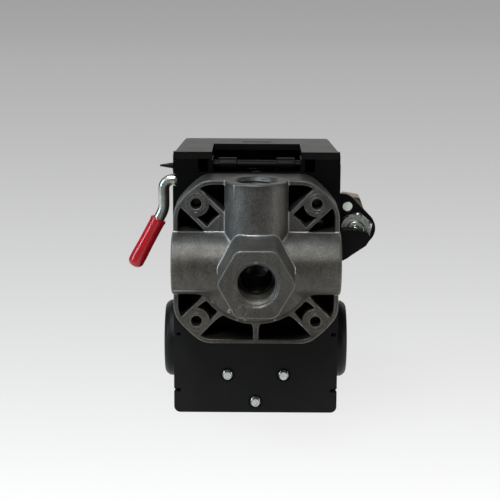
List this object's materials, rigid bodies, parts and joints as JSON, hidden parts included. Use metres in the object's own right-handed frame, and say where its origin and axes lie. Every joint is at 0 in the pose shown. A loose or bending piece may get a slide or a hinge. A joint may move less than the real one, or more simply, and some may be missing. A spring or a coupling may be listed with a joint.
{
  "type": "pressure switch",
  "caption": "Air-compressor pressure switch: grey die-cast four-port manifold on a black housing, with a red-sleeved AUTO/OFF lever and an unloader valve.",
  "frame": {"origin": "centre of the main port where its thread begins, 1.3 mm behind the front face of the hexagon", "axes": "-Y out of the main port, +Z towards the hinge end of the housing, +X towards the unloader valve"},
  "size_m": [0.0889, 0.1048, 0.0952],
  "materials": {
    "die_cast": "as-cast grey die casting, matt with a faint grain",
    "seal_rubber": "moulded nitrile sheet",
    "nylon_white": "moulded nylon",
    "black_steel": "black coated sheet steel, satin",
    "zinc_screw": "bright zinc plated",
    "bright_steel": "ground steel",
    "zinc_sheet": "zinc plated sheet",
    "black_plastic": "black moulded plastic, satin",
    "copper_strip": "copper strip with silver faces",
    "phenolic": "brown-black moulded phenolic",
    "brass_strip": "brass strip",
    "spring_steel": "spring wire",
    "black_rubber": "black moulded rubber, satin",
    "brass": "dulled machined brass",
    "nickel_plate": "nickel plated, slightly green",
    "zinc_rod": "zinc plated round rod",
    "red_vinyl": "glossy dip-moulded red vinyl"
  },
  "bodies": {
    "housing": {"manifold": "die_cast", "diaphragm": "seal_rubber", "base_frame": "black_steel", "frame_screws": "zinc_screw", "hinge_pin": "black_steel", "contact_block": "phenolic", "block_screws": "zinc_screw", "terminal_strips": "brass_strip", "terminal_screws": "zinc_screw", "clamp_plates": "zinc_sheet", "range_stud": "zinc_screw", "range_spring": "spring_steel", "differential_stud": "zinc_screw", "differential_spring": "spring_steel", "differential_nut": "zinc_screw", "differential_washer": "zinc_sheet", "cover_post": "zinc_screw", "cover": "black_plastic", "cover_screw": "zinc_screw", "cable_grommet_left": "black_rubber", "cable_grommet_right": "black_rubber", "unloader_bracket": "black_steel", "bracket_rivets": "zinc_screw", "unloader_locknut": "zinc_screw", "unloader_valve_body": "nickel_plate", "valve_spring": "spring_steel", "spring_stop": "brass", "compression_nut": "brass", "ferrule": "brass"},
    "main_lever": {"main_lever": "black_steel", "unloader_arm": "black_steel", "contact_carrier": "black_plastic", "contact_bridges": "copper_strip"},
    "piston": {"piston": "nylon_white"},
    "valve_pin": {"valve_pin": "bright_steel"},
    "auto_off_lever": {"auto_off_rod": "zinc_rod", "lever_sleeve": "red_vinyl", "rod_collar": "spring_steel", "lever_cam": "nylon_white"},
    "range_cup": {"spring_cup": "zinc_sheet"},
    "range_nut": {"range_nut": "zinc_screw"}
  },
  "joints": [
    {"name": "main_lever_pivot", "type": "hinge", "parent": "housing", "child": "main_lever", "pos_m": [0, 0.0533, 0.031], "axis": [1, 0, 0], "range_deg": [0, 3.2], "deforming": ["range_spring", "differential_spring"]},
    {"name": "piston_stroke", "type": "slide", "parent": "housing", "child": "piston", "axis": [0, 1, 0], "range_m": [0, 0.0018]},
    {"name": "valve_pin_stroke", "type": "slide", "parent": "housing", "child": "valve_pin", "axis": [0, 1, 0], "range_m": [0, 0.0014], "deforming": ["valve_spring"]},
    {"name": "auto_off_pivot", "type": "hinge", "parent": "housing", "child": "auto_off_lever", "pos_m": [-0.02, 0.0545, 0.0253], "axis": [1, 0, 0], "range_deg": [0, 45]},
    {"name": "range_cup_slide", "type": "slide", "parent": "housing", "child": "range_cup", "axis": [0, 1, 0], "range_m": [-0.003, 0.003], "deforming": ["range_spring"]},
    {"name": "range_nut_turn", "type": "hinge", "parent": "range_cup", "child": "range_nut", "pos_m": [0, 0.078, 0.017], "axis": [0, 1, 0], "range_deg": [-1080, 1080]}
  ],
  "couplings": [
    {"joint": "piston_stroke", "follows": "main_lever_pivot", "m_per_rad": 0.031},
    {"joint": "valve_pin_stroke", "follows": "main_lever_pivot", "m_per_rad": 0.0239},
    {"joint": "range_nut_turn", "follows": "range_cup_slide", "rad_per_m": 6283.2}
  ]
}
